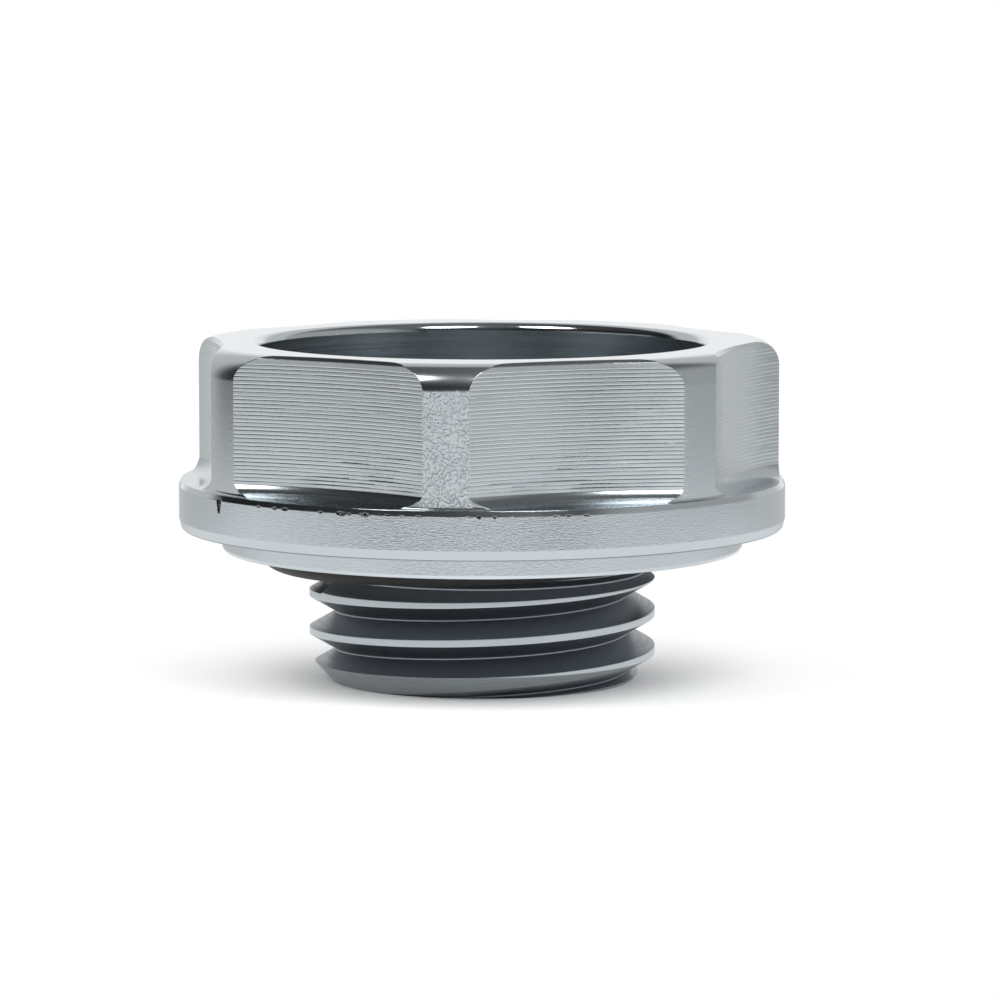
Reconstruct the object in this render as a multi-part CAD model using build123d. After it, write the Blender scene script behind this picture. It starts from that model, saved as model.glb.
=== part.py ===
from build123d import *
from math import ceil, cos, radians, sin, tan
import os

# Oil filler cap: a dished aluminium head with seven milled scallops, a flange,
# a step and a coarse screw thread, with a rubber ring in a groove under the step.
# Millimetres. The cap stands on its thread end, +Z up, with its axis on Z.
# Angles about the axis are counted from the front (-Y) towards the right (+X).

# Screw thread
thread_diameter = 32.0
thread_pitch = 3.5
flank_angle = 30.0
crest_flat = 0.66
root_flat = 0.12
thread_start_angle = -14.0
end_chamfer = 2.0

# Bore in the thread end
bore_diameter = 20.0
bore_depth = 13.0
bore_mouth_chamfer = 0.5

# Collar above the thread, chamfered at its lower edge, and the step's height over the end face
collar_oversize = 0.15
collar_drop = 2.05
collar_chamfer_width = 1.05
collar_chamfer_height = 0.8
shank_length = 12.25

# Sealing ring, its round section drawn with flats, and its room in the face groove
ring_section = 4.0
ring_flats = 12
ring_inner_room = 0.65
ring_outer_room = 0.4
ring_proud = 0.55
ring_seat_gap = 0.05
ring_droop_angle = 2.0

# Step and flange
step_land = 2.85
step_height = 2.15
flange_overhang = 3.95
flange_height = 4.25
flange_top_chamfer_height = 0.5
flange_low_chamfer_height = 0.7
step_chamfer_height = 0.3
chamfer_width = 0.2

# Head with its dish
head_height = 12.7
head_inset = 0.5
head_top_radius = 2.4
dish_wall = 3.65
dish_depth = 10.0
dish_lip_chamfer = 0.8
dish_corner_chamfer = 1.2

# Scallops round the head. The foot's hollow leaves the wall at a slope.
scallop_count = 7
scallop_radius = 38.0
scallop_depth = 3.25
scallop_foot_radius = 2.0
scallop_foot_slope = 26.0
scallop_edge_break = 0.3
first_scallop_angle = 19.1

# Radii, worked out from the thread outwards and from the flange inwards
thread_radius = thread_diameter / 2
collar_radius = thread_radius + collar_oversize
ring_radius = collar_radius + ring_inner_room + ring_section / 2
groove_radius = ring_radius + ring_section / 2 + ring_outer_room
step_radius = groove_radius + step_land
flange_radius = step_radius + flange_overhang
head_radius = flange_radius - head_inset
waist_radius = head_radius - scallop_depth
dish_radius = waist_radius - dish_wall

# Heights, from the end face upwards
collar_z = shank_length - collar_drop
groove_z = shank_length + ring_section - ring_proud
flange_z = shank_length + step_height
head_z = flange_z + flange_height
top_z = head_z + head_height
dish_z = top_z - dish_depth

FRONT = -90


def outline(*points):
    """A closed outline of (radius, height) points."""
    return make_face(Polyline(*points, close=True))


def corner(shape, radius, height):
    """The corner of an outline at this radius and height."""
    return shape.vertices().sort_by_distance((radius, height, 0))[0]


def turned(shape):
    """An outline turned round the Z axis."""
    return revolve(Plane.XZ * shape, Axis.Z)


def thread_turns():
    """The turns of the helical groove, a flat-bottomed V that starts and ends outside the shank."""
    slope = tan(radians(flank_angle))
    depth = (thread_pitch - crest_flat - root_flat) / 2 / slope
    overshoot = crest_flat / 4 / slope
    root_radius = thread_radius - depth
    mouth_radius = thread_radius + overshoot
    half_mouth = root_flat / 2 + (depth + overshoot) * slope
    section = outline(
        (root_radius, -root_flat / 2),
        (mouth_radius, -half_mouth),
        (mouth_radius, half_mouth),
        (root_radius, root_flat / 2),
    )
    path = Helix(thread_pitch, thread_pitch, thread_radius)
    turn = Rot(Z=FRONT + thread_start_angle) * sweep(Plane.XZ * section, path, is_frenet=True)
    turn_count = ceil(collar_z / thread_pitch) + 1
    return [Pos(Z=(i - 1) * thread_pitch) * turn for i in range(turn_count + 1)]


def threaded_shank():
    """The shank below the collar, chamfered at its end and cut by the groove."""
    blank = outline((0, 0), (thread_radius, 0), (thread_radius, collar_z), (0, collar_z))
    shank = turned(chamfer(corner(blank, thread_radius, 0), end_chamfer))
    for turn in thread_turns():
        shank -= turn
    return shank


def turned_head():
    """Collar, face groove, step, flange and dished head, as they come off the lathe."""
    shape = outline(
        (0, collar_z),
        (collar_radius - collar_chamfer_width, collar_z),
        (collar_radius, collar_z + collar_chamfer_height),
        (collar_radius, groove_z),
        (groove_radius, groove_z),
        (groove_radius, shank_length),
        (step_radius - chamfer_width, shank_length),
        (step_radius, shank_length + step_chamfer_height),
        (step_radius, flange_z),
        (flange_radius - chamfer_width, flange_z),
        (flange_radius, flange_z + flange_low_chamfer_height),
        (flange_radius, head_z - flange_top_chamfer_height),
        (flange_radius - chamfer_width, head_z),
        (head_radius, head_z),
        (head_radius, top_z),
        (dish_radius, top_z),
        (dish_radius, dish_z),
        (0, dish_z),
    )
    shape = fillet(corner(shape, head_radius, top_z), head_top_radius)
    shape = chamfer(corner(shape, dish_radius, top_z), dish_lip_chamfer)
    shape = chamfer(corner(shape, dish_radius, dish_z), dish_corner_chamfer)
    return turned(shape)


def scallop_cutters():
    """The milling passes round the head: upright walls, a hollow foot and a broken top edge."""
    above = head_top_radius
    foot_start = radians(scallop_foot_slope)
    foot_middle = (foot_start + radians(90)) / 2
    foot_x = scallop_radius - scallop_foot_radius * cos(foot_start)
    foot_z = head_z + scallop_foot_radius

    def on_foot(angle):
        """The point of the foot's hollow where it slopes by this angle."""
        return foot_x + scallop_foot_radius * cos(angle), foot_z - scallop_foot_radius * sin(angle)

    wall_foot = on_foot(foot_start)
    foot = ThreePointArc((foot_x, head_z), on_foot(foot_middle), wall_foot)
    rest = Polyline(
        wall_foot,
        (scallop_radius, top_z - scallop_edge_break),
        (scallop_radius + scallop_edge_break + above, top_z + above),
        (0, top_z + above),
        (0, head_z),
        (foot_x, head_z),
    )
    cutter = Pos(X=waist_radius + scallop_radius) * turned(make_face([foot, *rest.edges()]))
    pitch = 360 / scallop_count
    return [Rot(Z=FRONT + first_scallop_angle + i * pitch) * cutter for i in range(scallop_count)]


def bore():
    """The blind bore that hollows the shank."""
    radius = bore_diameter / 2
    shape = outline((0, 0), (radius, 0), (radius, bore_depth), (0, bore_depth))
    mouth = outline((0, 0), (radius + bore_mouth_chamfer, 0), (0, radius + bore_mouth_chamfer))
    return turned(shape) + turned(mouth)


def cap_body():
    """The cap, one piece of aluminium."""
    return threaded_shank() + turned_head() - scallop_cutters() - bore()


def o_ring():
    """The rubber ring: seated at the right, and hanging a little out of its groove at the left."""
    turn_to_flat = 180 / ring_flats
    flats = RegularPolygon(ring_section / 2, ring_flats, major_radius=False, rotation=turn_to_flat)
    ring = Pos(X=-ring_radius, Z=-ring_section / 2) * turned(Pos(X=ring_radius) * flats)
    hinge = Pos(X=ring_radius, Z=groove_z - ring_seat_gap)
    return hinge * Rot(Y=-ring_droop_angle) * ring


os.makedirs("parts", exist_ok=True)
export_step(cap_body(), "parts/cap_body.step")
export_step(o_ring(), "parts/o_ring.step")
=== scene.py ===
from math import atan2, cos, pi, radians, sin, tan, tau
from random import Random

import bmesh
import bpy
from bpy.props import FloatProperty, FloatVectorProperty, IntProperty, PointerProperty
from mathutils import Euler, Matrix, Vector


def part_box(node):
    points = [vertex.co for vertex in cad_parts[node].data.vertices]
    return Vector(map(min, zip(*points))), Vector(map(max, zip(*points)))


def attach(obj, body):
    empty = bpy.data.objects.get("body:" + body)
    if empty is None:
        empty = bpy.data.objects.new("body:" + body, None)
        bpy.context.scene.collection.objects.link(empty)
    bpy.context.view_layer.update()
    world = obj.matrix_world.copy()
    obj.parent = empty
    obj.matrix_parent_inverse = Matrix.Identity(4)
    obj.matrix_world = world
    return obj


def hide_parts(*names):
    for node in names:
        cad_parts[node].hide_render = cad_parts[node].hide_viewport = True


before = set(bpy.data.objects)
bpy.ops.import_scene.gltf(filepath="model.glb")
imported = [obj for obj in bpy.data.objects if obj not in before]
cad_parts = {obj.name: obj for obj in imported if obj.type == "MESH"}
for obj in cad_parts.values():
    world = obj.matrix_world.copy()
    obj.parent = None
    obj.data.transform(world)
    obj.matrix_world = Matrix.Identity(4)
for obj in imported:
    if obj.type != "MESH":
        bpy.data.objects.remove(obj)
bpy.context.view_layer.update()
body_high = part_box("cap_body")[1]

bl_info = {
    "name": "Oil filler cap",
    "version": (1, 0, 0),
    "blender": (4, 5, 0),
    "location": "3D View > Sidebar > Filler cap",
    "description": "Models a screw-in oil filler cap with its sealing ring, and a small studio",
    "category": "Add Mesh",
}

MM = 0.001
# Angles about the axis are counted from the front towards the right
FRONT = -pi / 2
# How near a place has to be to count as the same, and how near two vertices are when they are merged
NEAR = 0.02 * MM
MERGED = 0.001 * MM
# A rounded corner of an outline has the first number of segments, and one more for each such length
ROUND_SEGMENTS = 5
ROUND_STEP = 0.2 * MM


def length(name, description, size):
    """A length that a user may change, given in millimetres."""
    return FloatProperty(name=name, description=description, default=size * MM, unit="LENGTH", precision=5)


def turn(name, description, degrees):
    """An angle that a user may change, given in degrees."""
    return FloatProperty(
        name=name, description=description, default=radians(degrees), subtype="ANGLE", unit="ROTATION"
    )


def colour(name, description, red, green, blue):
    """A colour that a user may change."""
    return FloatVectorProperty(
        name=name, description=description, default=(red, green, blue, 1.0), size=4, subtype="COLOR"
    )


class ThreadSizes(bpy.types.PropertyGroup):
    """The shank: its screw thread, its bore, and the relief and the collar above the thread."""

    diameter: length("Diameter", "Over the crests of the thread", 32.0)
    pitch: length("Pitch", "Rise of the thread in one turn", 3.5)
    flank: turn("Flank angle", "Slope of each flank against a level plane", 30.0)
    crest: length("Crest", "Width of the flat on the crests", 0.66)
    root: length("Root", "Width of the flat in the root", 0.12)
    start: turn("Start", "Where the groove crosses the end face, from the front towards the right", -14.0)
    height: length("Height", "From the end face to the relief's root", 10.05)
    lead_in: length("Lead-in", "Width of the chamfer at the end face", 2.0)
    lead_in_height: length("Lead-in height", "Height of the chamfer at the end face", 2.2)
    bore: length("Bore", "Diameter of the hollow in the shank", 20.0)
    bore_depth: length("Bore depth", "Depth of the hollow in the shank", 13.0)
    bore_mouth: length("Bore mouth", "Chamfer at the mouth of the hollow", 0.5)
    collar: length("Collar", "How far the collar stands out past the crests", 0.15)
    collar_rise: length("Collar rise", "Height of the relief's upper side, under the collar", 0.8)
    relief: length("Relief", "Depth of the relief between the crests and the collar", 0.9)
    relief_drop: length("Relief drop", "Height of the relief's lower side", 0.95)
    relief_tilt: turn("Relief tilt", "Rise of the relief's lower edge towards the right", 1.8)
    run_out: turn("Run-out", "Where the groove runs out, from the front towards the right", -57.0)


class FlangeSizes(bpy.types.PropertyGroup):
    """The flange, the step under it and the groove for the sealing ring."""

    radius: FloatProperty(name="Radius", description="Over the flange", default=body_high.x, unit="LENGTH")
    bottom: length("Bottom", "Height of the flange's underside", 14.2)
    top: length("Top", "Height of the flange's upper face", 18.65)
    top_chamfer: length("Top chamfer", "Height of the chamfer on the flange's upper edge", 0.5)
    low_chamfer: length("Low chamfer", "Height of the chamfer on the flange's lower edge", 0.9)
    edge: length("Edge", "Broken edge under the flange's lower chamfer", 0.12)
    step_chamfer: length("Step chamfer", "Height of the chamfer on the step's lower edge", 0.3)
    chamfer_width: length("Chamfer width", "Width of these chamfers", 0.2)
    step_radius: length("Step radius", "Over the step", 24.05)
    step_bottom: length("Step bottom", "Height of the step's underside", 12.15)
    groove_radius: length("Groove radius", "Outer wall of the ring's groove", 21.2)
    groove_roof: length("Groove roof", "Height of the groove's roof", 15.7)


class HeadSizes(bpy.types.PropertyGroup):
    """The head with its dish."""

    top: FloatProperty(name="Top", description="Height of the rim", default=body_high.z, unit="LENGTH")
    inset: length("Inset", "How far the lands stand back from the flange", 0.5)
    foot: length("Foot", "Rounding where the lands meet the flange", 0.25)
    shoulder: length("Shoulder", "Rounding of the lands into the rim", 2.4)
    dish_radius: length("Dish radius", "Wall of the dish", 20.6)
    dish_floor: length("Dish floor", "Height of the dish's floor", 21.35)
    dish_lip: length("Dish lip", "Rounding of the rim into the dish", 0.8)
    dish_corner: length("Dish corner", "Rounding between the wall and the floor of the dish", 1.2)


class ScallopSizes(bpy.types.PropertyGroup):
    """The milled scallops round the head."""

    count: IntProperty(name="Count", description="Number of scallops", default=7, min=1)
    radius: length("Radius", "Radius of the milled hollow", 38.0)
    depth: length("Depth", "How deep the hollow is cut into the lands", 3.25)
    foot: length("Foot", "Rounding at the foot of the hollow", 2.0)
    foot_slope: turn("Foot slope", "Slope of the rounding where it leaves the wall", 26.0)
    edge_break: length("Edge break", "Chamfer at the top of the hollow", 0.3)
    first: turn("First", "Middle of the first scallop, from the front towards the right", 19.1)


class SealSizes(bpy.types.PropertyGroup):
    """The rubber sealing ring."""

    radius: length("Radius", "From the axis to the middle of the section", 18.8)
    section: length("Section", "Thickness of the ring", 4.0)
    seat_gap: length("Seat gap", "Between the ring and the groove's roof where it is seated", 0.05)
    droop: turn("Droop", "Tilt of the ring out of its groove", 2.0)


class Finishes(bpy.types.PropertyGroup):
    """Colours of the anodised metal and the rubber. Every metal colour after the first is the metal's own
    colour darkened as painted shade.
    """

    metal: colour("Metal", "Reflection of the anodised metal", 0.64, 0.692, 0.722)
    # Painted shade: the rims' colour is the metal's colour a little darker
    rim: colour("Rim", "Reflection of the rims of flange and step", 0.57, 0.62, 0.651)
    # Painted shade: the crests, the dish and the scallops' feet get the metal's colour darker still
    crest: colour("Crest", "Reflection of the crests, the dish and the scallops' feet", 0.525, 0.572, 0.6)
    # Painted shade: the lead-in is darkened for the shadowed floor that it mirrors
    lead_in: colour("Lead-in", "Reflection of the chamfer at the end face", 0.33, 0.358, 0.376)
    # Painted shade: the thread's flanks are darkened for the shade in the groove
    flank: colour("Flank", "Reflection of the thread's flanks", 0.246, 0.268, 0.296)
    # Painted shade: the relief's lower side is darkened, less than the flanks
    relief: colour("Relief", "Reflection of the relief's lower side", 0.39, 0.425, 0.468)
    # Painted shade: the relief's upper side, under the collar, is nearly black
    collar: colour("Collar", "Reflection of the relief's upper side, under the collar", 0.098, 0.107, 0.118)
    # Painted shade: the inside of the chips is near black
    chip: colour("Chip", "Inside of the chips on the flange's edge", 0.02, 0.02, 0.022)
    rubber: colour("Rubber", "Sealing ring", 0.011, 0.011, 0.01)


class StageSettings(bpy.types.PropertyGroup):
    """Camera and floor."""

    lens: FloatProperty(name="Lens", description="Focal length", default=182.6, unit="CAMERA")
    distance: length("Distance", "Camera's distance from the axis", 466.6)
    height: length("Height", "Camera's height over the floor", 69.3)
    pitch: turn("Pitch", "How far the camera looks down", 6.458)
    yaw: turn("Yaw", "How far the camera looks to the right", 0.203)
    floor: colour("Floor", "Floor", 0.9, 0.9, 0.9)


class FillerCap(bpy.types.PropertyGroup):
    """All settings of the cap."""

    thread: PointerProperty(type=ThreadSizes)
    flange: PointerProperty(type=FlangeSizes)
    head: PointerProperty(type=HeadSizes)
    scallop: PointerProperty(type=ScallopSizes)
    seal: PointerProperty(type=SealSizes)
    finish: PointerProperty(type=Finishes)
    stage: PointerProperty(type=StageSettings)


# Modelling helpers


def begin(name):
    """Start a piece as a single vertex at the origin, in edit mode."""
    bpy.ops.object.select_all(action="DESELECT")
    bpy.ops.mesh.primitive_plane_add(size=MM)
    piece = bpy.context.object
    piece.name = name
    piece.data.name = name
    bpy.ops.object.mode_set(mode="EDIT")
    bpy.ops.mesh.select_mode(type="VERT")
    bpy.ops.mesh.select_all(action="SELECT")
    bpy.ops.mesh.merge(type="CENTER")
    return piece


def select(piece, part, test):
    """Select the vertices or faces that pass the test, in edit mode."""
    bpy.ops.mesh.select_mode(type={"verts": "VERT", "faces": "FACE"}[part])
    bpy.ops.mesh.select_all(action="DESELECT")
    mesh = bmesh.from_edit_mesh(piece.data)
    for element in getattr(mesh, part):
        if test(element):
            element.select_set(True)
    bmesh.update_edit_mesh(piece.data)


def draw_outline(piece, corners, closed=False):
    """Extrude the piece's vertex along an outline of (radius, height, rounding) corners."""
    points = [Vector((radius, 0, height)) for radius, height, rounding in corners]
    bpy.ops.transform.translate(value=points[0])
    for start, end in zip(points, points[1:]):
        bpy.ops.mesh.extrude_region_move(TRANSFORM_OT_translate={"value": end - start})
    if closed:
        ends = (points[0], points[-1])
        select(piece, "verts", lambda v: min((v.co - end).length for end in ends) < NEAR)
        bpy.ops.mesh.edge_face_add()
    for point, (radius, height, rounding) in zip(points, corners):
        if rounding:
            select(piece, "verts", lambda v: (v.co - point).length < NEAR)
            segments = ROUND_SEGMENTS + round(rounding / ROUND_STEP)
            bpy.ops.mesh.bevel(offset=rounding, segments=segments, affect="VERTICES")


def close_shape():
    """Merge what meets, fill the open ends and turn the faces outwards, in edit mode."""
    bpy.ops.mesh.select_all(action="SELECT")
    bpy.ops.mesh.remove_doubles(threshold=MERGED)
    bpy.ops.mesh.fill_holes(sides=0)
    bpy.ops.mesh.select_all(action="SELECT")
    bpy.ops.mesh.normals_make_consistent(inside=False)


def spin(steps, angle=tau, centre=(0, 0, 0)):
    """Turn the outline round an upright axis and close the shape, in edit mode."""
    bpy.ops.mesh.select_mode(type="VERT")
    bpy.ops.mesh.select_all(action="SELECT")
    bpy.ops.mesh.spin(steps=steps, angle=angle, center=centre, axis=(0, 0, 1))
    close_shape()


def leave(piece):
    """Back to object mode, with only this piece selected."""
    if bpy.context.mode != "OBJECT":
        bpy.ops.object.mode_set(mode="OBJECT")
    bpy.ops.object.select_all(action="DESELECT")
    bpy.context.view_layer.objects.active = piece
    piece.select_set(True)


def join(pieces):
    """Join the pieces into the first of them."""
    leave(pieces[0])
    for piece in pieces:
        piece.select_set(True)
    bpy.ops.object.join()
    return pieces[0]


def copies_round_axis(piece, count, first):
    """Join copies of a piece, evenly turned round the axis, into one."""
    copies = [piece]
    for _ in range(count - 1):
        leave(piece)
        bpy.ops.object.duplicate()
        copies.append(bpy.context.object)
    for number, copy in enumerate(copies):
        leave(copy)
        copy.rotation_euler.z = first + number * tau / count
        bpy.ops.object.transform_apply()
    return join(copies)


def apply_modifier(piece, kind, **settings):
    """Add a modifier and apply it."""
    leave(piece)
    modifier = piece.modifiers.new(kind.title(), kind)
    for name, value in settings.items():
        setattr(modifier, name, value)
    bpy.ops.object.modifier_apply(modifier=modifier.name)


def cut(piece, cutter):
    """Cut the cutter's shape out of the piece. The new faces keep the cutter's finish."""
    apply_modifier(
        piece, "BOOLEAN", operation="DIFFERENCE", solver="EXACT", object=cutter, material_mode="TRANSFER"
    )
    mesh = cutter.data
    bpy.data.objects.remove(cutter)
    bpy.data.meshes.remove(mesh)


def all_over(face):
    """A test that every face passes."""
    return True


def assign(piece, material, test=all_over):
    """Give a finish to the faces that pass the test."""
    leave(piece)
    piece.data.materials.append(material)
    bpy.ops.object.mode_set(mode="EDIT")
    select(piece, "faces", test)
    piece.active_material_index = len(piece.data.materials) - 1
    bpy.ops.object.material_slot_assign()
    leave(piece)


def smooth(piece, angle, flat_finish):
    """Shade smooth up to an angle, but leave the faces of one finish flat."""
    leave(piece)
    bpy.ops.object.shade_smooth_by_angle(angle=angle)
    flat = piece.data.materials.find(flat_finish.name)
    bpy.ops.object.mode_set(mode="EDIT")
    select(piece, "faces", lambda face: face.material_index == flat)
    bpy.ops.mesh.faces_shade_flat()
    apply_modifier(piece, "WEIGHTED_NORMAL", mode="FACE_AREA", weight=100, keep_sharp=True)


# Node helpers

# The part of a noise's range that nearly all of its values lie in
NOISE_RANGE = (0.3, 0.7)


def node(tree, kind, inputs=None, **settings):
    """A new node with its settings, and its inputs set to values or linked to sockets."""
    made = tree.nodes.new(kind)
    for name, value in settings.items():
        setattr(made, name, value)
    for name, value in (inputs or {}).items():
        if isinstance(value, bpy.types.NodeSocket):
            tree.links.new(value, made.inputs[name])
        else:
            made.inputs[name].default_value = value
    return made


def new_finish(name, **sockets):
    """A material with its shader's constant sockets set."""
    material = bpy.data.materials.new(name)
    material.use_nodes = True
    shader = material.node_tree.nodes["Principled BSDF"]
    for socket, value in sockets.items():
        shader.inputs[socket.replace("_", " ")].default_value = value
    return material, material.node_tree, shader


def link(tree, shader, **sockets):
    """Link values to the shader's sockets."""
    for name, value in sockets.items():
        tree.links.new(value, shader.inputs[name.replace("_", " ")])


def axes(tree, vector):
    """The X, Y and Z of a vector."""
    return node(tree, "ShaderNodeSeparateXYZ", {"Vector": vector}).outputs


def millimetres(tree, across=1.0, upright=1.0):
    """Object coordinates in millimetres, scaled across and upright."""
    place = node(tree, "ShaderNodeTexCoord").outputs["Object"]
    scale = (across / MM, across / MM, upright / MM)
    return node(tree, "ShaderNodeMapping", {"Vector": place, "Scale": scale}).outputs["Vector"]


def turned_coordinates(tree, wander):
    """Coordinates along the lathe's cut: radius and height in millimetres, nearly the same all round."""
    place = millimetres(tree)
    level = node(tree, "ShaderNodeVectorMath", {0: place, 1: (1, 1, 0)}, operation="MULTIPLY")
    radius = node(tree, "ShaderNodeVectorMath", {0: level.outputs["Vector"]}, operation="LENGTH")
    height = axes(tree, place)["Z"]
    ring = node(tree, "ShaderNodeCombineXYZ", {"X": radius.outputs["Value"], "Y": height})
    drift = node(tree, "ShaderNodeVectorMath", {0: place, 1: (wander,) * 3}, operation="MULTIPLY")
    both = {0: ring.outputs["Vector"], 1: drift.outputs["Vector"]}
    return node(tree, "ShaderNodeVectorMath", both, operation="ADD").outputs["Vector"]


def noise(tree, vector, scale=1.0, detail=2.0, roughness=0.5):
    """A noise value over these coordinates."""
    inputs = {"Vector": vector, "Scale": scale, "Detail": detail, "Roughness": roughness}
    return node(tree, "ShaderNodeTexNoise", inputs).outputs["Fac"]


def between(tree, value, low, high, to_low=0.0, to_high=1.0):
    """The value, spread smoothly from one range to another."""
    inputs = {"Value": value, "From Min": low, "From Max": high, "To Min": to_low, "To Max": to_high}
    made = node(tree, "ShaderNodeMapRange", inputs, interpolation_type="SMOOTHSTEP")
    return made.outputs["Result"]


def combine(tree, operation, first, *others):
    """The values, put together one after the other by an operation."""
    for other in others:
        first = node(tree, "ShaderNodeMath", {0: first, 1: other}, operation=operation).outputs["Value"]
    return first


# A Mix node's sockets go by number: its factor, then the two values of the kind that it mixes


def mix(tree, factor, first, second):
    """A value from the first to the second as the factor rises."""
    return node(tree, "ShaderNodeMix", {0: factor, 2: first, 3: second}, data_type="FLOAT").outputs[0]


def blend_colours(tree, factor, first, second):
    """A colour from the first to the second as the factor rises."""
    return node(tree, "ShaderNodeMix", {0: factor, 6: first, 7: second}, data_type="RGBA").outputs[2]


def soft_edge(tree, radius):
    """A normal that rounds the sharp edges."""
    return node(tree, "ShaderNodeBevel", {"Radius": radius}, samples=6).outputs["Normal"]


def bump(tree, height, normal, strength, distance):
    """The normal, roughened by the height."""
    inputs = {"Height": height, "Strength": strength, "Distance": distance, "Normal": normal}
    return node(tree, "ShaderNodeBump", inputs).outputs["Normal"]


# Finishes


def bar_skin(finish, skin_top):
    """The drawn bar's wrinkled skin on the lands, with the lathe's bright cut above a ragged line."""
    raggedness = 1.2
    line_rise = 0.65
    line_blur = 0.04
    line = skin_top / MM + line_rise
    material, tree, shader = new_finish("bar_skin", Metallic=1.0, Base_Color=finish.metal)
    place = axes(tree, millimetres(tree))
    ragged = noise(tree, millimetres(tree, across=2.5, upright=0.8), detail=3.0, roughness=0.6)
    height = combine(tree, "ADD", place["Z"], combine(tree, "MULTIPLY", ragged, raggedness))
    skin = between(tree, height, line - line_blur, line + line_blur, to_low=1.0, to_high=0.0)
    folds = noise(tree, millimetres(tree, across=4.0, upright=3.4), detail=2.5)
    wrinkles = between(tree, folds, low=0.38, high=0.54)
    in_front = between(tree, place["Y"], low=-25.0, high=-20.0, to_low=0.95, to_high=0.02)
    strength = combine(tree, "MULTIPLY", skin, in_front)
    relief = bump(tree, wrinkles, soft_edge(tree, radius=0.12 * MM), strength, distance=0.08 * MM)
    link(tree, shader, Roughness=mix(tree, skin, first=0.19, second=0.23), Normal=relief)
    return material


def rim(finish):
    """The rims of flange and step, in the darker rim colour as painted shade. The marks along the lathe's
    cut fade from the front to the sides.
    """
    material, tree, shader = new_finish("rim", Metallic=1.0, Base_Color=finish.rim, Roughness=0.17)
    marks = noise(tree, millimetres(tree, across=2.4, upright=10.0), detail=3.0, roughness=0.55)
    place = axes(tree, millimetres(tree))
    strength = between(tree, place["Y"], low=-27.8, high=-21.0, to_low=0.78, to_high=0.25)
    relief = bump(tree, marks, soft_edge(tree, radius=0.12 * MM), strength, distance=0.03 * MM)
    link(tree, shader, Normal=relief)
    return material


def milled(finish):
    """The milled scallops, with a fine grain along the cutter's passes."""
    material, tree, shader = new_finish("milled", Metallic=1.0, Base_Color=finish.metal)
    grain = noise(tree, millimetres(tree, across=0.12, upright=7.0), detail=3.0, roughness=0.6)
    worn = noise(tree, millimetres(tree, across=0.2, upright=0.6))
    relief = bump(tree, grain, soft_edge(tree, radius=0.1 * MM), strength=0.25, distance=0.012 * MM)
    dullness = between(tree, worn, *NOISE_RANGE, to_low=0.2, to_high=0.28)
    link(tree, shader, Roughness=dullness, Normal=relief)
    return material


def milling_line(finish):
    """The lines between the cutter's passes."""
    return new_finish("milling_line", Metallic=1.0, Base_Color=finish.metal, Roughness=0.2)[0]


def hollow(finish):
    """The smooth hollow at the scallops' foot, in the darker crest colour as painted shade."""
    material, tree, shader = new_finish("hollow", Metallic=1.0, Base_Color=finish.crest, Roughness=0.17)
    link(tree, shader, Normal=soft_edge(tree, radius=0.1 * MM))
    return material


def fine_marks(tree):
    """The marks of the lathe's last fine cut."""
    return noise(tree, turned_coordinates(tree, wander=0.004), scale=5.0)


def coarse_marks(tree):
    """The marks of the lathe's coarser cut on the shank."""
    return noise(tree, turned_coordinates(tree, wander=0.01), scale=4.0, detail=3.0, roughness=0.6)


def lathe_cut(name, shade, marks_of, strength, edge, dullness):
    """Metal as the lathe left it: marks all round, and a dullness that wanders with them."""
    material, tree, shader = new_finish(name, Metallic=1.0, Base_Color=shade)
    marks = marks_of(tree)
    relief = bump(tree, marks, soft_edge(tree, edge), strength, distance=0.01 * MM)
    link(tree, shader, Roughness=between(tree, marks, *NOISE_RANGE, *dullness), Normal=relief)
    return material


def turned(finish):
    """What the lathe left bright: the head's top, the dish's lip, the flange's faces, the ring's groove."""
    return lathe_cut(
        "turned", finish.metal, fine_marks, strength=0.06, edge=0.1 * MM, dullness=(0.08, 0.13)
    )


def dished(finish):
    """The dish's wall and floor, turned to a dull finish, in the darker crest colour as painted shade."""
    return lathe_cut(
        "dished", finish.crest, fine_marks, strength=0.06, edge=0.1 * MM, dullness=(0.2, 0.26)
    )


def crests(name, shade):
    """The shank's plain turned metal, which the crests and the lead-in keep."""
    return lathe_cut(name, shade, coarse_marks, strength=0.1, edge=0.15 * MM, dullness=(0.26, 0.34))


def flanks(name, shade, dullness=(0.3, 0.38)):
    """The sides of the thread's groove and of the relief, darker than the crests as painted shade."""
    return lathe_cut(name, shade, coarse_marks, strength=0.08, edge=0.03 * MM, dullness=dullness)


def chipped(finish):
    """The torn metal in the chips on the flange's edge, with near black painted shade between flecks of the
    metal's colour.
    """
    material, tree, shader = new_finish("chipped", Metallic=1.0)
    grain = noise(tree, millimetres(tree), scale=9.0)
    bare = between(tree, grain, low=0.56, high=0.64)
    dullness = between(tree, grain, *NOISE_RANGE, to_low=0.25, to_high=0.55)
    # Where the grain is low the chip shows painted shade, elsewhere the metal's colour
    link(tree, shader, Base_Color=blend_colours(tree, bare, finish.chip, finish.metal), Roughness=dullness)
    return material


def rubber(finish):
    """The sealing ring's matt black rubber."""
    material, tree, shader = new_finish("seal_rubber", Base_Color=finish.rubber, Specular_IOR_Level=0.2)
    grain = noise(tree, millimetres(tree), scale=6.0, detail=4.0, roughness=0.6)
    smooth_normal = node(tree, "ShaderNodeNewGeometry").outputs["Normal"]
    relief = bump(tree, grain, smooth_normal, strength=0.2, distance=0.02 * MM)
    dullness = between(tree, grain, *NOISE_RANGE, to_low=0.42, to_high=0.56)
    link(tree, shader, Roughness=dullness, Normal=relief)
    return material


# Pieces


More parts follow.
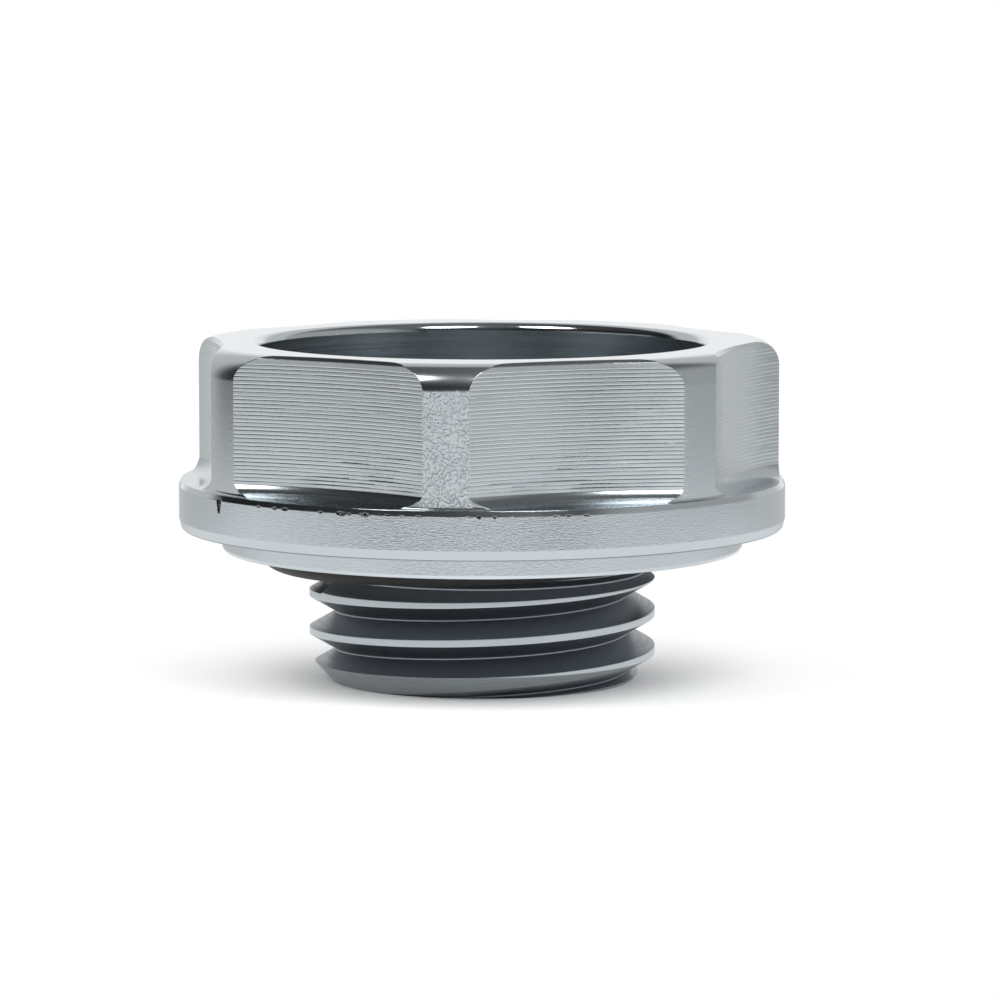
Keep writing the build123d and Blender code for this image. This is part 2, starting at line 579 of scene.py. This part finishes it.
class CAP_OT_body(bpy.types.Operator):
    """Turn, thread and mill the cap's body, and chip its flange"""

    bl_idname = "filler_cap.body"
    bl_label = "Cap body"

    # Steps of the turned and swept shapes
    TURN_STEPS = 360
    THREAD_STEPS = 350
    SCALLOP_STEPS = 30
    FOOT_STEPS = 14
    SMOOTH_ANGLE = radians(14)
    # How far round its own axis the milling cutter reaches, and how far past the flange
    SCALLOP_SWEEP = radians(33)
    CUTTER_WALL = 5 * MM
    # The end of the groove: each step widens all that lies past it
    RUN_OUT_STEPS = 10
    RUN_OUT_STEP = radians(1)
    RUN_OUT_GROWTH = 0.019
    # Milling lines: pitch and how it varies, depth and half width in millimetres, and their wear
    LINE_SEED = 4
    LINE_PITCH = 0.35 * MM
    LINE_PITCH_RANGE = (0.94, 1.06)
    LINE_DEPTHS = (0.006, 0.015)
    LINE_HALF_WIDTHS = (0.045, 0.06)
    LINE_WEAR = 0.028 * MM
    WEAR_STRETCH = (2.5 * MM, 2.5 * MM, 0.3 * MM)
    # How far behind the scallop's wall a vertex lies that belongs to a line
    LINE_REACH = (0.002 * MM, 0.1 * MM)
    # How much a face's normal rises: at least this on a level face, less on a rim, between on the edge
    LEVEL_RISE = 0.99
    RIM_RISE = 0.7
    EDGE_RISE = (-0.9, -0.5)
    # Chips along the flange's upper edge: angle from the front, width, height and length of a tail below
    CHIPS = (
        (-57.4, 0.9, 0.5, 0.9),
        (-41.0, 0.6, 0.2, 0.0),
        (-38.5, 0.8, 0.24, 0.0),
        (-26.3, 1.1, 0.4, 0.0),
        (-24.6, 0.4, 0.2, 0.0),
        (-21.6, 0.9, 0.34, 0.0),
        (-17.2, 0.5, 0.2, 0.0),
        (-0.6, 0.4, 0.36, 0.0),
        (2.3, 0.35, 0.36, 0.0),
        (15.8, 0.6, 0.22, 0.0),
    )
    # Runs of small chips: first and last angle, and their number
    RAGGED_RUNS = ((-47.0, -28.0, 5), (-28.0, -10.0, 6), (-4.0, 7.0, 4), (12.0, 21.0, 3))
    # The small chips: place in their share of the run, width, height to width, and room to the next
    CHIP_SEED = 11
    CHIP_PLACES = (0.3, 0.7)
    CHIP_WIDTHS = (0.15, 0.7)
    CHIP_HEIGHTS = (0.15, 0.3)
    CHIP_ROOM = 0.7
    # How deep a chip bites, at most and as a share of its width, and how ragged its lump is
    CHIP_DEPTH = 0.25
    CHIP_BITE = 0.4
    CHIP_RAGGEDNESS = 0.1
    # A lump is one unit across until it is scaled, and its tail is drawn out from below this height
    LUMP_RADIUS = 0.5
    LUMP_BOTTOM = -0.4

    def execute(self, context):
        cap = context.scene.filler_cap
        bright = turned(cap.finish)
        lines = milling_line(cap.finish)
        body = self.turned_blank(cap)
        self.give_turned_finishes(body, cap, bright)
        cut(body, self.scallop_cutters(cap, lines))
        # The flanks' finish, dark as painted shade, also darkens the broken edge under the flange
        flank_shade = flanks("flanks", cap.finish.flank)
        self.give_edge_painted_shade(body, cap.flange, flank_shade)
        cut(body, self.thread_groove(cap, flank_shade))
        cut(body, self.thread_relief(cap))
        cut(body, self.chips(cap))
        smooth(body, self.SMOOTH_ANGLE, lines)
        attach(body, "root")
        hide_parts("cap_body")
        return {"FINISHED"}

    def turned_blank(self, cap):
        """The body as it comes off the lathe, before thread and scallops."""
        thread, flange, head = cap.thread, cap.flange, cap.head
        crest = thread.diameter / 2
        bore = thread.bore / 2
        collar = crest + thread.collar
        lands = flange.radius - head.inset
        outline = [
            (0, thread.bore_depth, 0),
            (bore, thread.bore_depth, 0),
            (bore, thread.bore_mouth, 0),
            (bore + thread.bore_mouth, 0, 0),
            (crest - thread.lead_in, 0, 0),
            (crest, thread.lead_in_height, 0),
            (crest, thread.height + thread.collar_rise, 0),
            (collar, thread.height + thread.collar_rise, 0),
            (collar, flange.groove_roof, 0),
            (flange.groove_radius, flange.groove_roof, 0),
            (flange.groove_radius, flange.step_bottom, 0),
            (flange.step_radius - flange.chamfer_width, flange.step_bottom, 0),
            (flange.step_radius, flange.step_bottom + flange.step_chamfer, 0),
            (flange.step_radius, flange.bottom, 0),
            (flange.radius - flange.chamfer_width - flange.edge, flange.bottom, 0),
            (flange.radius - flange.chamfer_width, flange.bottom + flange.edge, 0),
            (flange.radius, flange.bottom + flange.low_chamfer, 0),
            (flange.radius, flange.top - flange.top_chamfer, 0),
            (flange.radius - flange.chamfer_width, flange.top, 0),
            (lands, flange.top, head.foot),
            (lands, head.top, head.shoulder),
            (head.dish_radius, head.top, head.dish_lip),
            (head.dish_radius, head.dish_floor, head.dish_corner),
            (0, head.dish_floor, 0),
        ]
        body = begin("filler_cap_body")
        draw_outline(body, outline)
        spin(self.TURN_STEPS)
        return body

    def give_turned_finishes(self, body, cap, bright):
        """Bar skin on the lands; rims, dish and shank duller, and darker in colour as painted shade; bright
        metal elsewhere.
        """
        thread, flange, head = cap.thread, cap.flange, cap.head
        skin_top = head.top - head.shoulder

        def on_land(face):
            centre = face.calc_center_median()
            outside = centre.xy.length > flange.step_radius and centre.z > flange.top + head.foot
            return outside and face.normal.z < self.LEVEL_RISE

        def on_rim(face):
            centre = face.calc_center_median()
            outside = centre.xy.length > flange.step_radius - flange.chamfer_width
            below_chamfer = centre.z < flange.top - flange.top_chamfer
            return outside and below_chamfer and abs(face.normal.z) < self.RIM_RISE

        def in_dish(face):
            centre = face.calc_center_median()
            inside = centre.xy.length < head.dish_radius + NEAR
            return inside and head.dish_floor - NEAR < centre.z < head.top - head.dish_lip

        def on_shank(face):
            centre = face.calc_center_median()
            return centre.z < thread.height and centre.xy.length > thread.bore / 2 + thread.bore_mouth

        def on_lead_in(face):
            return on_shank(face) and 0 < face.calc_center_median().z < thread.lead_in_height

        assign(body, bright)
        assign(body, bar_skin(cap.finish, skin_top), on_land)
        assign(body, rim(cap.finish), on_rim)
        assign(body, dished(cap.finish), in_dish)
        # The crests and the lead-in get darker colours as painted shade, the lead-in's darkest
        assign(body, crests("crests", cap.finish.crest), on_shank)
        assign(body, crests("lead_in", cap.finish.lead_in), on_lead_in)

    def give_edge_painted_shade(self, body, flange, flank_shade):
        """Painted shade on the broken edge under the flange: it gets the flanks' dark colour."""
        middle = flange.radius - flange.chamfer_width - flange.edge / 2
        lowest, highest = self.EDGE_RISE

        def on_edge(face):
            centre = face.calc_center_median()
            under_flange = centre.z < flange.bottom + flange.edge
            near_edge = abs(centre.xy.length - middle) < flange.edge
            return under_flange and near_edge and lowest < face.normal.z < highest

        assign(body, flank_shade, on_edge)

    def scallop_cutters(self, cap, lines):
        """One milling pass, as a slab with a lined wall and a rounded foot, copied round the head."""
        flange, head, scallop = cap.flange, cap.head, cap.scallop
        waist = flange.radius - head.inset - scallop.depth
        axis = waist + scallop.radius
        outer = flange.radius + self.CUTTER_WALL
        bottom = flange.top - NEAR
        above = head.top + head.shoulder
        flare = head.top - scallop.edge_break
        foot = self.hollow_foot(waist, bottom, scallop)
        wall_foot = foot[-1][1]
        outline = [
            (outer, bottom, 0),
            *foot,
            *self.milling_lines(waist, wall_foot, flare),
            (waist, flare, 0),
            (waist - (above - flare), above, 0),
            (outer, above, 0),
        ]
        cutter = begin("scallop_cutter")
        draw_outline(cutter, outline, closed=True)
        spin(self.SCALLOP_STEPS, self.SCALLOP_SWEEP, (axis, 0, 0))
        leave(cutter)
        cursor = bpy.context.scene.cursor
        cursor.location = (axis, 0, 0)
        bpy.ops.object.origin_set(type="ORIGIN_CURSOR")
        cutter.rotation_euler.z = self.SCALLOP_SWEEP / 2
        bpy.ops.object.transform_apply()
        cursor.location = (0, 0, 0)
        nearest, farthest = self.LINE_REACH

        def in_line(vertex):
            reach = (vertex.co.xy - Vector((axis, 0))).length - scallop.radius
            return nearest < reach < farthest

        def on_line(face):
            return any(in_line(vertex) for vertex in face.verts)

        def on_wall(face):
            return wall_foot < face.calc_center_median().z < flare

        assign(cutter, hollow(cap.finish))
        assign(cutter, milled(cap.finish), on_wall)
        assign(cutter, lines, on_line)
        bpy.ops.object.mode_set(mode="EDIT")
        select(cutter, "verts", in_line)
        bpy.ops.object.vertex_group_assign_new()
        copies_round_axis(cutter, scallop.count, FRONT + scallop.first)
        self.wear_lines(cutter, cutter.vertex_groups.active.name)
        return cutter

    def hollow_foot(self, waist, bottom, scallop):
        """The rounding from the flange up to the wall, as corners of the outline."""
        start = waist + scallop.foot * cos(scallop.foot_slope)
        corners = []
        for step in range(self.FOOT_STEPS + 1):
            slope = pi / 2 + (scallop.foot_slope - pi / 2) * step / self.FOOT_STEPS
            corners.append((start - scallop.foot * cos(slope), bottom + scallop.foot * (1 - sin(slope)), 0))
        return corners

    def milling_lines(self, waist, low, high):
        """The shallow notches between the cutter's passes, as corners of the wall's outline."""
        draw = Random(self.LINE_SEED)
        corners = []
        height = low + self.LINE_PITCH
        while height < high - self.LINE_PITCH:
            depth = draw.uniform(*self.LINE_DEPTHS) * MM
            half = draw.uniform(*self.LINE_HALF_WIDTHS) * MM
            corners += [(waist, height - half, 0), (waist - depth, height, 0), (waist, height + half, 0)]
            height += self.LINE_PITCH * draw.uniform(*self.LINE_PITCH_RANGE)
        return corners

    def wear_lines(self, cutter, bottoms):
        """Deepen and fade the lines along their length."""
        leave(cutter)
        bpy.ops.object.empty_add()
        stretch = bpy.context.object
        stretch.scale = self.WEAR_STRETCH
        bpy.context.view_layer.update()
        wear = bpy.data.textures.new("wear", "CLOUDS")
        wear.noise_scale = 1.0
        apply_modifier(
            cutter, "DISPLACE", texture=wear, texture_coords="OBJECT", texture_coords_object=stretch,
            vertex_group=bottoms, strength=self.LINE_WEAR, mid_level=0.5,
        )
        bpy.data.objects.remove(stretch)
        bpy.data.textures.remove(wear)

    def thread_relief(self, cap):
        """The relief between thread and collar, as a ring with a tilted lower edge."""
        thread = cap.thread
        root = thread.diameter / 2 - thread.relief
        reach = thread.relief + 2 * thread.collar
        rise = thread.collar_rise * reach / (thread.relief + thread.collar)
        drop = thread.relief_drop * reach / thread.relief
        low = thread.height - thread.root / 2
        high = thread.height + thread.root / 2
        outline = [
            (root, low, 0),
            (root, high, 0),
            (root + reach, high + rise, 0),
            (root + reach, low - drop, 0),
        ]
        ring = begin("thread_relief")
        draw_outline(ring, outline, closed=True)
        spin(self.TURN_STEPS)
        select(ring, "verts", lambda v: v.co.z < low - drop / 2)
        bpy.ops.transform.rotate(
            value=thread.relief_tilt, orient_axis="Y", center_override=(0, 0, low - drop)
        )

        def under_collar(face):
            return face.calc_center_median().z > high

        # Painted shade: the relief's lower side is darkened, and its upper side under the collar nearly
        # black
        assign(ring, flanks("relief", cap.finish.relief, dullness=(0.5, 0.58)))
        assign(ring, flanks("collar", cap.finish.collar), under_collar)
        return ring

    def thread_groove(self, cap, finish):
        """The helical groove, as a solid that runs out at the left and stays below the relief's root."""
        thread = cap.thread
        slope = tan(thread.flank)
        crest = thread.diameter / 2
        depth = (thread.pitch - thread.crest - thread.root) / 2 / slope
        overshoot = thread.crest / 4 / slope
        mouth = thread.root / 2 + (depth + overshoot) * slope
        outline = [
            (crest - depth, -thread.root / 2, 0),
            (crest + overshoot, -mouth, 0),
            (crest + overshoot, mouth, 0),
            (crest - depth, thread.root / 2, 0),
        ]
        groove = begin("thread_groove")
        draw_outline(groove, outline, closed=True)
        leave(groove)
        turns = round(thread.height / thread.pitch) + 1 + (thread.run_out - thread.start) / tau
        steps = round(turns * self.THREAD_STEPS)
        rise = turns * thread.pitch
        groove.location.z = -thread.pitch
        groove.rotation_euler.z = FRONT + thread.start
        bpy.ops.object.transform_apply()
        apply_modifier(
            groove, "SCREW", angle=turns * tau, screw_offset=rise, steps=steps, render_steps=steps
        )
        bpy.ops.object.mode_set(mode="EDIT")
        self.run_out(groove, thread, turns)
        close_shape()
        leave(groove)
        bpy.ops.object.select_all(action="DESELECT")
        bpy.ops.mesh.primitive_cube_add(size=1, location=(0, 0, thread.height + NEAR + rise / 2))
        collar_room = bpy.context.object
        room_width = 3 * crest
        collar_room.scale = (room_width, room_width, rise)
        leave(collar_room)
        bpy.ops.object.transform_apply()
        cut(groove, collar_room)
        assign(groove, finish)
        return groove

    def run_out(self, groove, thread, turns):
        """Draw the groove's last stretch out of the shank, as the tool was drawn back."""
        end = FRONT + thread.run_out + self.RUN_OUT_STEP / 2
        top = (turns - 1) * thread.pitch
        grow = 1 + self.RUN_OUT_GROWTH
        for steps_left in range(self.RUN_OUT_STEPS, 0, -1):
            stretch = steps_left * self.RUN_OUT_STEP

            def in_stretch(vertex):
                away = (end - atan2(vertex.co.y, vertex.co.x)) % tau
                middle = top - away / tau * thread.pitch
                return away < stretch and abs(vertex.co.z - middle) < thread.pitch / 2

            select(groove, "verts", in_stretch)
            bpy.ops.transform.resize(value=(grow, grow, 1), center_override=(0, 0, 0))

    def all_chips(self, flange):
        """The chips with the small ones between them, none touching its neighbour."""
        draw = Random(self.CHIP_SEED)
        chips = list(self.CHIPS)
        for first, last, count in self.RAGGED_RUNS:
            for number in range(count):
                place = first + (number + draw.uniform(*self.CHIP_PLACES)) * (last - first) / count
                width = draw.uniform(*self.CHIP_WIDTHS)
                height = width * draw.uniform(*self.CHIP_HEIGHTS)

                def clear_of(chip):
                    apart = radians(abs(place - chip[0])) * flange.radius
                    return apart > self.CHIP_ROOM * (width + chip[1]) * MM

                if all(clear_of(chip) for chip in chips):
                    chips.append((place, width, height, 0.0))
        return chips

    def chips(self, cap):
        """Small ragged lumps that bite into the flange's upper edge."""
        flange = cap.flange
        edge = flange.top - flange.top_chamfer
        lumps = []
        for number, (degrees, width, height, tail) in enumerate(self.all_chips(flange)):
            angle = FRONT + radians(degrees)
            bite = min(self.CHIP_BITE * width, self.CHIP_DEPTH)
            bpy.ops.object.select_all(action="DESELECT")
            bpy.ops.mesh.primitive_ico_sphere_add(subdivisions=2, radius=self.LUMP_RADIUS)
            lump = bpy.context.object
            bpy.ops.object.mode_set(mode="EDIT")
            bpy.ops.transform.vertex_random(offset=self.CHIP_RAGGEDNESS, seed=number)
            if tail:
                select(lump, "verts", lambda v: v.co.z < self.LUMP_BOTTOM)
                bpy.ops.transform.translate(value=(0, 0, -tail / height))
            leave(lump)
            lump.scale = (bite * MM, width * MM, height * MM)
            lump.rotation_euler.z = angle
            lump.location = (flange.radius * cos(angle), flange.radius * sin(angle), edge)
            bpy.ops.object.transform_apply()
            lumps.append(lump)
        lump = join(lumps)
        assign(lump, chipped(cap.finish))
        return lump


class CAP_OT_seal(bpy.types.Operator):
    """Mould the rubber sealing ring and hang it in its groove"""

    bl_idname = "filler_cap.seal"
    bl_label = "Sealing ring"

    RING_STEPS = 240
    SECTION_STEPS = 48

    def execute(self, context):
        cap = context.scene.filler_cap
        seal = cap.seal
        bpy.ops.object.select_all(action="DESELECT")
        bpy.ops.mesh.primitive_torus_add(
            major_segments=self.RING_STEPS,
            minor_segments=self.SECTION_STEPS,
            major_radius=seal.radius,
            minor_radius=seal.section / 2,
        )
        ring = bpy.context.object
        ring.name = "seal_ring"
        ring.data.name = "seal_ring"
        leave(ring)
        tilt = seal.droop
        roof = cap.flange.groove_roof - seal.seat_gap
        # The ring hangs from its right end, and this arm leads from there to its middle
        arm = Vector((-seal.radius, 0, -seal.section / 2))
        ring.rotation_euler.y = -tilt
        ring.location = (
            seal.radius + arm.x * cos(tilt) - arm.z * sin(tilt),
            0,
            roof + arm.z * cos(tilt) + arm.x * sin(tilt),
        )
        bpy.ops.object.transform_apply()
        ring.data.materials.append(rubber(cap.finish))
        bpy.ops.object.shade_smooth()
        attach(ring, "root")
        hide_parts("o_ring")
        return {"FINISHED"}


class CAP_OT_stage(bpy.types.Operator):
    """Set up the floor, the studio light and the camera"""

    bl_idname = "filler_cap.stage"
    bl_label = "Stage"

    # Width and length of the floor, and how far its middle lies to the right, in metres
    FLOOR_SIZE = (0.42, 8.0)
    FLOOR_SHIFT = -0.04
    # How far from this place the floor begins to turn white, and is white
    WHITE_ROUND = (0, -0.008, 0)
    WHITE_FROM = 0.012
    WHITE_TO = 0.042
    # How bright metal mirrors the floor behind the cap, and over which stretch it comes down to that
    FLOOR_BEHIND = 0.62
    FLOOR_FADE = (0.0, 0.1)
    # Brightness of the studio's walls, as metal mirrors them
    BACKDROP = 0.62
    BACKDROP_MIDDLE = 0.33
    RIGHT_WALL = 0.42
    LEFT_WALL = 0.26
    CEILING = (0.06, 0.16)
    CEILING_LEFT = 0.35
    # Where each of them begins and is full, as the part of a direction that points along an axis
    BACKDROP_Y = (0.45, 0.62)
    BACKDROP_MIDDLE_Y = (0.84, 0.95)
    RIGHT_WALL_X = (0.45, 0.8)
    LEFT_WALL_X = (-0.85, -0.5)
    LEFT_WALL_Y = (0.1, 0.3)
    LEFT_WALL_Z = (0.08, 0.28)
    CEILING_X = (-0.5, 0.1)
    CEILING_Z = (0.3, 0.85)
    # Soft boxes in front: angle from the front towards the right, and power
    BOXES = ((22, 1.5), (-45, 1.5))
    BOX_DISTANCE = 0.8
    BOX_RISE = radians(52)
    BOX_SIZE = 0.32
    # Fill lamps: angle from the front towards the right, and rise
    FILLS = ((0, 47), (-80, 40), (80, 40))
    FILL_POWER = 1.4
    FILL_WIDTH = radians(40)
    CLIP_START = 0.01

    def execute(self, context):
        stage = context.scene.filler_cap.stage
        context.scene.view_settings.view_transform = "Standard"
        self.floor(stage)
        self.world(context.scene)
        self.lamps()
        self.camera(context.scene, stage)
        return {"FINISHED"}

    def floor(self, stage):
        """A wide pale floor, white to the camera and in reflections, that keeps the cap's shadow."""
        bpy.ops.object.select_all(action="DESELECT")
        bpy.ops.mesh.primitive_plane_add(size=1, location=(self.FLOOR_SHIFT, 0, 0))
        floor = bpy.context.object
        floor.name = "floor"
        floor.scale = (*self.FLOOR_SIZE, 1)
        bpy.ops.object.transform_apply()
        material, tree, shader = new_finish("floor", Base_Color=stage.floor, Roughness=1.0)
        place = node(tree, "ShaderNodeTexCoord").outputs["Object"]
        path = node(tree, "ShaderNodeLightPath").outputs
        mirrored = between(tree, axes(tree, place)["Y"], *self.FLOOR_FADE, 1.0, self.FLOOR_BEHIND)
        strength = combine(tree, "MAXIMUM", path["Is Camera Ray"], mirrored)
        white = node(tree, "ShaderNodeEmission", {"Color": (1, 1, 1, 1), "Strength": strength})
        away = node(tree, "ShaderNodeVectorMath", {0: place, 1: self.WHITE_ROUND}, operation="DISTANCE")
        whiteness = between(tree, away.outputs["Value"], self.WHITE_FROM, self.WHITE_TO)
        seen = combine(
            tree, "MAXIMUM", path["Is Glossy Ray"], path["Is Transmission Ray"], path["Is Camera Ray"]
        )
        mixed = node(tree, "ShaderNodeMixShader", {0: combine(tree, "MULTIPLY", seen, whiteness)})
        tree.links.new(shader.outputs["BSDF"], mixed.inputs[1])
        tree.links.new(white.outputs["Emission"], mixed.inputs[2])
        tree.links.new(mixed.outputs["Shader"], tree.nodes["Material Output"].inputs["Surface"])
        floor.data.materials.append(material)

    def world(self, scene):
        """A studio with a white backdrop behind the cap, a pale wall at each side and a dim ceiling."""
        world = bpy.data.worlds.new("studio")
        world.use_nodes = True
        scene.world = world
        tree = world.node_tree
        way = axes(tree, node(tree, "ShaderNodeTexCoord").outputs["Generated"])
        backdrop = combine(
            tree, "ADD",
            between(tree, way["Y"], *self.BACKDROP_Y, 0.0, self.BACKDROP),
            between(tree, way["Y"], *self.BACKDROP_MIDDLE_Y, 0.0, self.BACKDROP_MIDDLE),
        )
        right_wall = between(tree, way["X"], *self.RIGHT_WALL_X, 0.0, self.RIGHT_WALL)
        left_wall = combine(
            tree, "MULTIPLY",
            between(tree, way["X"], *self.LEFT_WALL_X, self.LEFT_WALL, 0.0),
            between(tree, way["Y"], *self.LEFT_WALL_Y, 1.0, 0.0),
            between(tree, way["Z"], *self.LEFT_WALL_Z, 1.0, 0.0),
        )
        ceiling = combine(
            tree, "MULTIPLY",
            between(tree, way["Z"], *self.CEILING_Z, *self.CEILING),
            between(tree, way["X"], *self.CEILING_X, self.CEILING_LEFT, 1.0),
        )
        camera = node(tree, "ShaderNodeLightPath").outputs["Is Camera Ray"]
        level = combine(tree, "MAXIMUM", backdrop, right_wall, left_wall, ceiling, camera)
        tree.links.new(level, tree.nodes["Background"].inputs["Color"])

    def lamps(self):
        """Two soft boxes in front, and an even fill from above that no metal mirrors."""
        ahead = Vector((0, -cos(self.BOX_RISE), sin(self.BOX_RISE)))
        for degrees, power in self.BOXES:
            way = Euler((0, 0, radians(degrees))).to_matrix() @ ahead
            bpy.ops.object.light_add(type="AREA", location=way * self.BOX_DISTANCE)
            box = bpy.context.object
            box.name = "soft_box"
            box.rotation_euler = way.to_track_quat("Z", "Y").to_euler()
            box.data.shape = "DISK"
            box.data.size = self.BOX_SIZE
            box.data.energy = power
        for degrees, rise in self.FILLS:
            rotation = (pi / 2 - radians(rise), 0, radians(degrees))
            bpy.ops.object.light_add(type="SUN", location=(0, 0, 1), rotation=rotation)
            fill = bpy.context.object
            fill.name = "fill"
            fill.data.angle = self.FILL_WIDTH
            fill.data.energy = self.FILL_POWER
            fill.visible_glossy = False

    def camera(self, scene, stage):
        """The camera, in front of the cap and a little above it."""
        bpy.ops.object.camera_add(
            location=(0, -stage.distance, stage.height),
            rotation=(pi / 2 - stage.pitch, 0, -stage.yaw),
        )
        camera = bpy.context.object
        camera.name = "camera"
        camera.data.lens = stage.lens
        camera.data.clip_start = self.CLIP_START
        scene.camera = camera


class CAP_PT_sidebar(bpy.types.Panel):
    """The cap's settings and steps"""

    bl_idname = "CAP_PT_sidebar"
    bl_label = "Filler cap"
    bl_space_type = "VIEW_3D"
    bl_region_type = "UI"
    bl_category = "Filler cap"

    def draw(self, context):
        cap = context.scene.filler_cap
        for group in FillerCap.__annotations__:
            box = self.layout.box()
            box.label(text=group.title())
            settings = getattr(cap, group)
            for name in settings.__annotations__:
                box.prop(settings, name)
        for operator in (CAP_OT_body, CAP_OT_seal, CAP_OT_stage):
            self.layout.operator(operator.bl_idname)


CLASSES = (
    ThreadSizes, FlangeSizes, HeadSizes, ScallopSizes, SealSizes, Finishes, StageSettings, FillerCap,
    CAP_OT_body, CAP_OT_seal, CAP_OT_stage, CAP_PT_sidebar,
)


def register():
    for cls in CLASSES:
        bpy.utils.register_class(cls)
    bpy.types.Scene.filler_cap = PointerProperty(type=FillerCap)


def unregister():
    del bpy.types.Scene.filler_cap
    for cls in reversed(CLASSES):
        bpy.utils.unregister_class(cls)


def main():
    register()
    bpy.ops.filler_cap.body()
    bpy.ops.filler_cap.seal()
    bpy.ops.filler_cap.stage()


if __name__ == "__main__":
    main()
